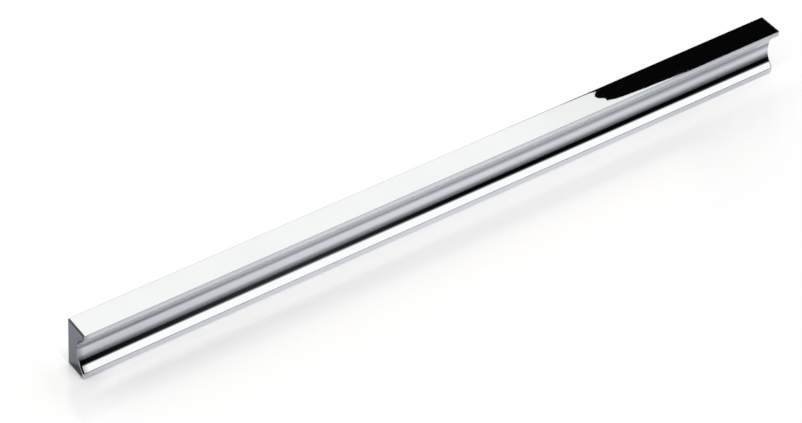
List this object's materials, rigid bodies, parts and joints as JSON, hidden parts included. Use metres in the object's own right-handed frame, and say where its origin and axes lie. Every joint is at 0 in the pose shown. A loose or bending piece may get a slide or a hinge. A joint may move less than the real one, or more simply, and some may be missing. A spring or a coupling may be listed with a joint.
{
  "type": "furniture handle",
  "caption": "Straight profile handle for a drawer or cabinet door: a polished bar with a lip and a finger cove along its length, screwed on from behind.",
  "frame": {"origin": "bottom centre of the bar's box, on the mounting face that lies against the drawer front", "axes": "+X along the bar, -Y out of the open side of the finger cove, +Z away from the mounting face towards the flat outer face"},
  "size_m": [0.336, 0.0114, 0.023],
  "materials": {
    "polished_chrome": "polished"
  },
  "bodies": {
    "root": {"handle_bar": "polished_chrome"}
  },
  "joints": []
}
